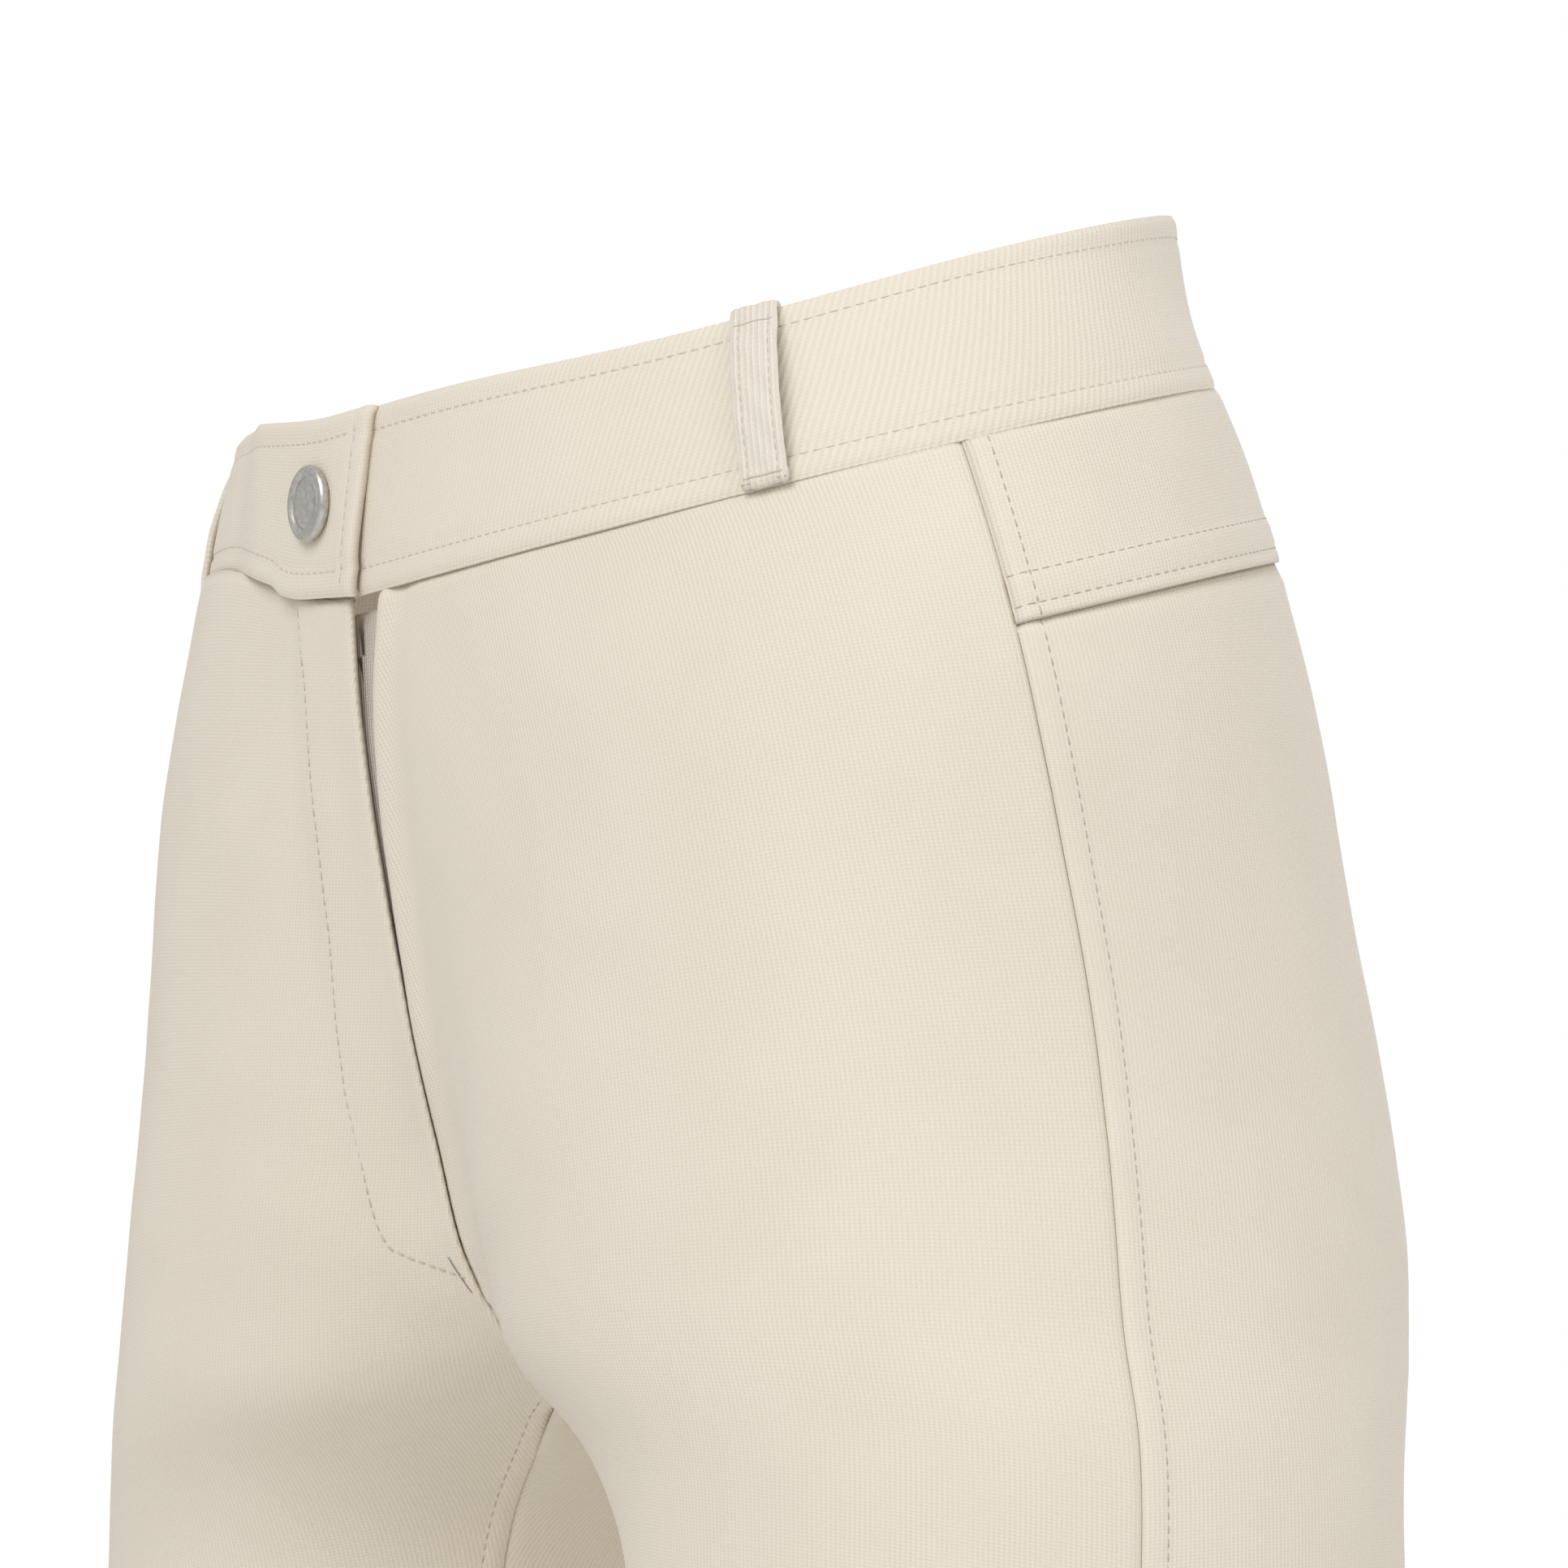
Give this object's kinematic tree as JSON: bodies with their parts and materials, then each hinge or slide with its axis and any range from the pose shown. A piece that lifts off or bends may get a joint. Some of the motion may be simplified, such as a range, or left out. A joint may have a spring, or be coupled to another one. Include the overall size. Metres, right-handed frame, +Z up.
{
  "type": "riding jodhpurs",
  "caption": "Ladies' riding jodhpurs: hollow waist, seat and two legs, band with lapped tab and press stud, front fly zip, back yoke and belt loops.",
  "frame": {"origin": "centre of the waistband's opening, on the plane of its top edge", "axes": "+Z up the standing wearer, -Y to the wearer's front, +X to the wearer's left"},
  "size_m": [0.3964, 0.21, 1.0112],
  "materials": {
    "cloth": "matte heavy cotton knit, ecru",
    "loop_cloth": "matte ribbed cotton knit, ecru",
    "tape": "woven zip tape with a nylon coil, grey-brown",
    "metal": "satin nickel"
  },
  "bodies": {
    "root": {"front_left": "cloth", "front_right": "cloth", "back_left": "cloth", "back_right": "cloth", "yoke_left": "cloth", "yoke_right": "cloth", "waistband": "cloth", "loop_front_left": "loop_cloth", "loop_front_right": "loop_cloth", "loop_centre_back": "loop_cloth", "zip_tape": "tape", "zip_slider": "metal", "zip_pull": "metal", "button_cap": "metal"}
  },
  "joints": []
}
